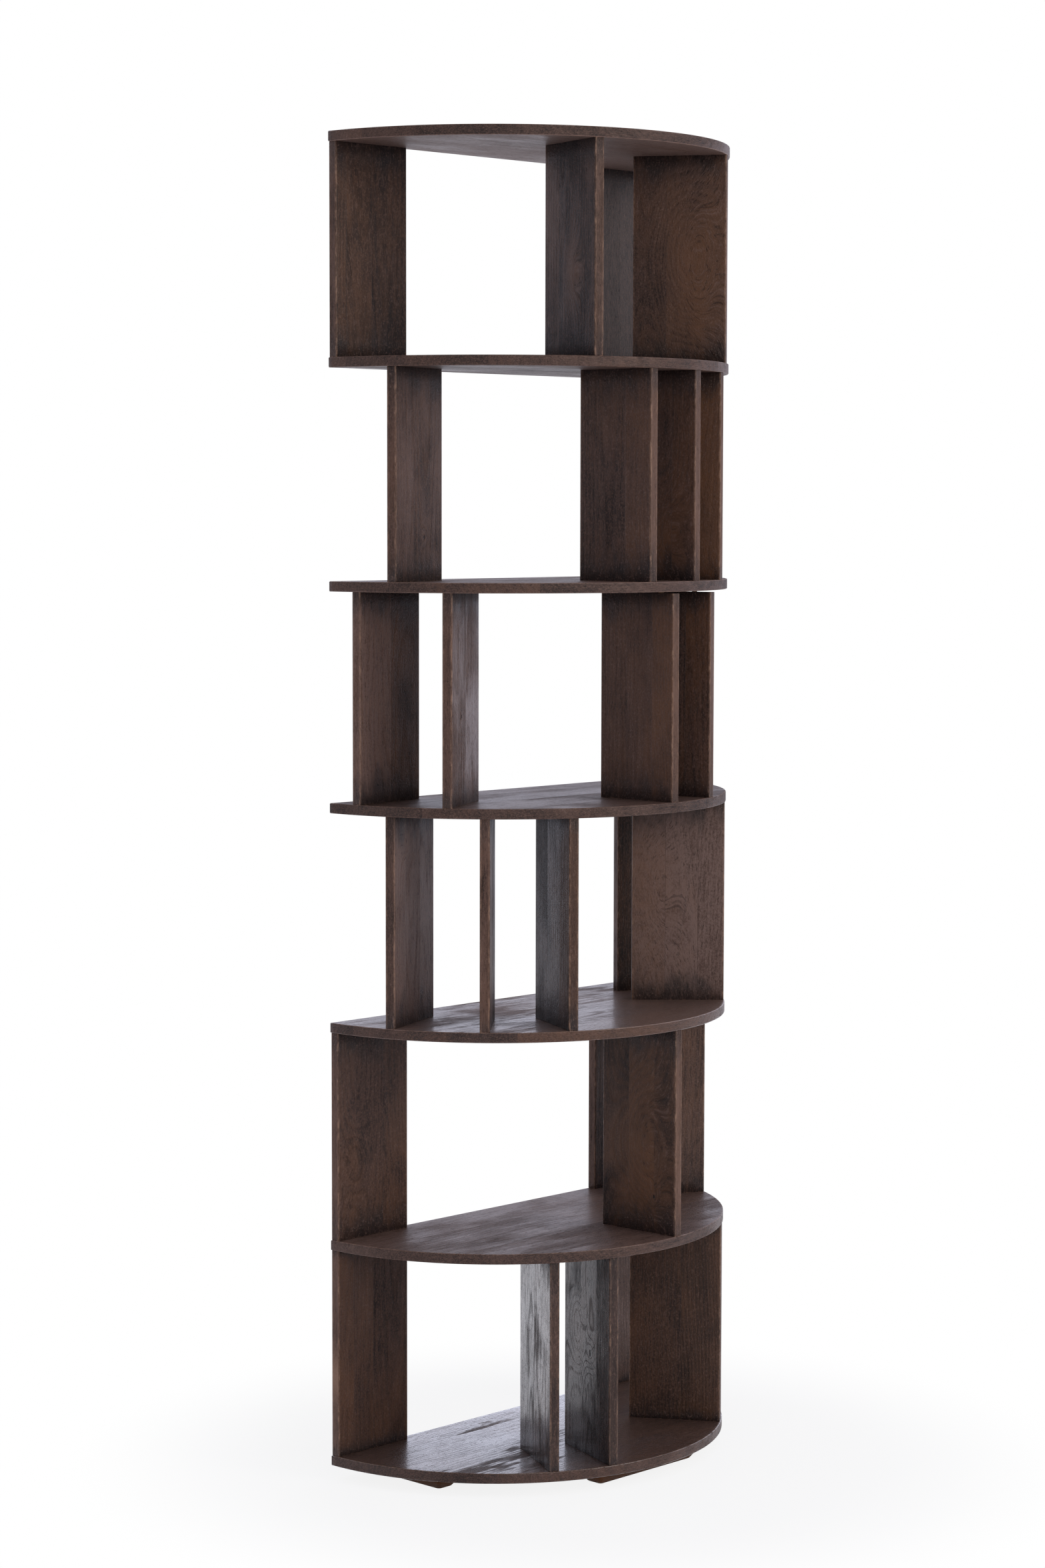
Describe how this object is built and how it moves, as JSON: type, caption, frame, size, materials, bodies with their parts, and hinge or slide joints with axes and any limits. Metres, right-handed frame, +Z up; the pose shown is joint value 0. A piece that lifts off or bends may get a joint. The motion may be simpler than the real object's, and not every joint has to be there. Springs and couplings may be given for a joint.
{
  "type": "half-round bookcase",
  "caption": "Tall half-round open bookcase: half-disc shelves held apart by short upright boards set on the radii, on low feet.",
  "frame": {"origin": "on the floor, in the middle of the half disc's bounding rectangle", "axes": "+Z up, -Y to the round front, +Y to the flat back, +X to the right seen from the front"},
  "size_m": [0.7, 0.3499, 1.98],
  "materials": {
    "shelf_wood": "dark brown stain, satin lacquer",
    "upright_wood": "dark brown stain, satin lacquer",
    "dowel_wood": "bare beech",
    "foot_wood": "mid brown stain, satin lacquer",
    "screw_steel": "zinc plated"
  },
  "bodies": {
    "root": {"shelf_1": "shelf_wood", "shelf_2": "shelf_wood", "shelf_3": "shelf_wood", "shelf_4": "shelf_wood", "shelf_5": "shelf_wood", "shelf_6": "shelf_wood", "shelf_7": "shelf_wood", "upright_1a": "upright_wood", "upright_1b": "upright_wood", "upright_1c": "upright_wood", "upright_1d": "upright_wood", "upright_2a": "upright_wood", "upright_2b": "upright_wood", "upright_2c": "upright_wood", "upright_2d": "upright_wood", "upright_3a": "upright_wood", "upright_3b": "upright_wood", "upright_3c": "upright_wood", "upright_3d": "upright_wood", "upright_4a": "upright_wood", "upright_4b": "upright_wood", "upright_4c": "upright_wood", "upright_4d": "upright_wood", "upright_4e": "upright_wood", "upright_5a": "upright_wood", "upright_5b": "upright_wood", "upright_5c": "upright_wood", "upright_5d": "upright_wood", "upright_6a": "upright_wood", "upright_6b": "upright_wood", "upright_6c": "upright_wood", "upright_6d": "upright_wood", "upright_6e": "upright_wood", "dowels_1": "dowel_wood", "dowels_2": "dowel_wood", "dowels_3": "dowel_wood", "dowels_4": "dowel_wood", "dowels_5": "dowel_wood", "dowels_6": "dowel_wood", "dowels_7": "dowel_wood", "foot_left": "foot_wood", "foot_front": "foot_wood", "foot_right": "foot_wood", "foot_screws": "screw_steel"}
  },
  "joints": []
}
